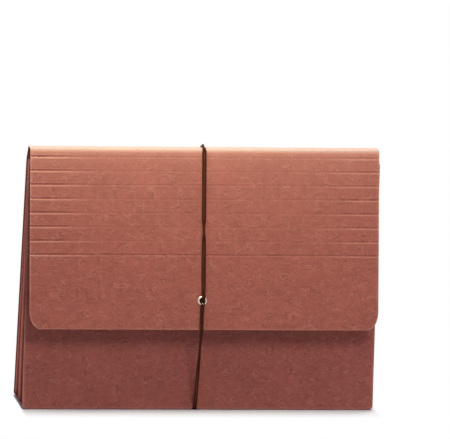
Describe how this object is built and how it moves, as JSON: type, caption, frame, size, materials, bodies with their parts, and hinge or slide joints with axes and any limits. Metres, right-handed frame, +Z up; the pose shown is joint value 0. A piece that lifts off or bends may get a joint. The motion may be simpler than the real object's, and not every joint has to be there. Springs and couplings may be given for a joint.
{
  "type": "expanding file wallet",
  "caption": "Expanding fibre-board file wallet with pleated sides, a scored fold-over flap, a metal eyelet and an elastic cord wound round it.",
  "frame": {"origin": "middle of the outer box, on the floor that the closed wallet stands on", "axes": "+X to the right along the ridge, +Y towards the back panel, +Z up"},
  "size_m": [0.298, 0.0793, 0.2248],
  "materials": {
    "fibre_board": "matte reddish-brown fibre board with fine flecks",
    "gusset_paper": "matte dark red-brown pleated paper",
    "nickelled_steel": "bright nickel plate",
    "elastic_braid": "dark brown braided elastic"
  },
  "bodies": {
    "pocket": {"back_panel": "fibre_board", "bottom_panel": "fibre_board", "left_gusset": "gusset_paper", "right_gusset": "gusset_paper", "elastic_cord": "elastic_braid"},
    "front": {"front_panel": "fibre_board"},
    "ridge": {"flap_top_strip": "fibre_board"},
    "strips_1_2": {"flap_strip_1": "fibre_board", "flap_strip_2": "fibre_board"},
    "strips_3_4": {"flap_strip_3": "fibre_board", "flap_strip_4": "fibre_board"},
    "strips_5_6": {"flap_strip_5": "fibre_board", "flap_strip_6": "fibre_board"},
    "strips_7_8": {"flap_strip_7": "fibre_board", "flap_strip_8": "fibre_board"},
    "flap": {"flap_panel": "fibre_board", "eyelet": "nickelled_steel", "eyelet_washer": "nickelled_steel", "cord_knot": "elastic_braid"}
  },
  "joints": [
    {"name": "flap_fold_rear", "type": "hinge", "parent": "pocket", "child": "ridge", "pos_m": [0, 0.00379, 0.22025], "axis": [-1, 0, 0], "range_deg": [0, 92], "deforming": ["elastic_cord"]},
    {"name": "flap_fold_front", "type": "hinge", "parent": "ridge", "child": "strips_1_2", "pos_m": [0, -0.00921, 0.22025], "axis": [-1, 0, 0], "range_deg": [0, 92]},
    {"name": "score_2", "type": "hinge", "parent": "strips_1_2", "child": "strips_3_4", "pos_m": [0, -0.0126, 0.20257], "axis": [-1, 0, 0], "range_deg": [-14.72, 0]},
    {"name": "score_4", "type": "hinge", "parent": "strips_3_4", "child": "strips_5_6", "pos_m": [0, -0.017, 0.17959], "axis": [-1, 0, 0], "range_deg": [-14.72, 0]},
    {"name": "score_6", "type": "hinge", "parent": "strips_5_6", "child": "strips_7_8", "pos_m": [0, -0.0214, 0.1566], "axis": [-1, 0, 0], "range_deg": [-14.72, 0]},
    {"name": "score_8", "type": "hinge", "parent": "strips_7_8", "child": "flap", "pos_m": [0, -0.0258, 0.13362], "axis": [-1, 0, 0], "range_deg": [-14.72, 0]},
    {"name": "mouth_open", "type": "hinge", "parent": "pocket", "child": "front", "pos_m": [0, -0.01977, 0], "axis": [1, 0, 0], "range_deg": [0, 8.28]}
  ],
  "couplings": [
    {"joint": "flap_fold_front", "follows": "flap_fold_rear", "ratio": 1},
    {"joint": "score_2", "follows": "flap_fold_rear", "ratio": -0.16},
    {"joint": "score_4", "follows": "flap_fold_rear", "ratio": -0.16},
    {"joint": "score_6", "follows": "flap_fold_rear", "ratio": -0.16},
    {"joint": "score_8", "follows": "flap_fold_rear", "ratio": -0.16},
    {"joint": "mouth_open", "follows": "flap_fold_rear", "ratio": 0.09}
  ]
}
